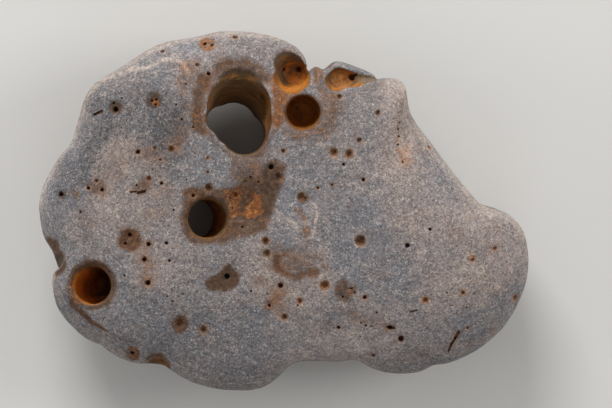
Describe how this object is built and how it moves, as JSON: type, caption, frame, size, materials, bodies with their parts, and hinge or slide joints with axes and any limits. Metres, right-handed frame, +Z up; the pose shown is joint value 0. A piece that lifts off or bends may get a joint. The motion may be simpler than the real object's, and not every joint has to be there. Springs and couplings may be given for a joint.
{
  "type": "flint nodule",
  "caption": "Flat lobed sea-worn grey nodule, bored through by shellfish and pitted, with open cups along one edge.",
  "frame": {"origin": "under the middle of the stone's box, on the surface that it rests on", "axes": "+X along the length towards the broad plain lobe, +Y towards the notched edge with the open cups, +Z up out of the bored face"},
  "size_m": [0.1221, 0.0895, 0.0331],
  "materials": {
    "stone": "dry, fine-grained and matt, with rust-brown stain in the bores"
  },
  "bodies": {
    "root": {"nodule": "stone"}
  },
  "joints": []
}
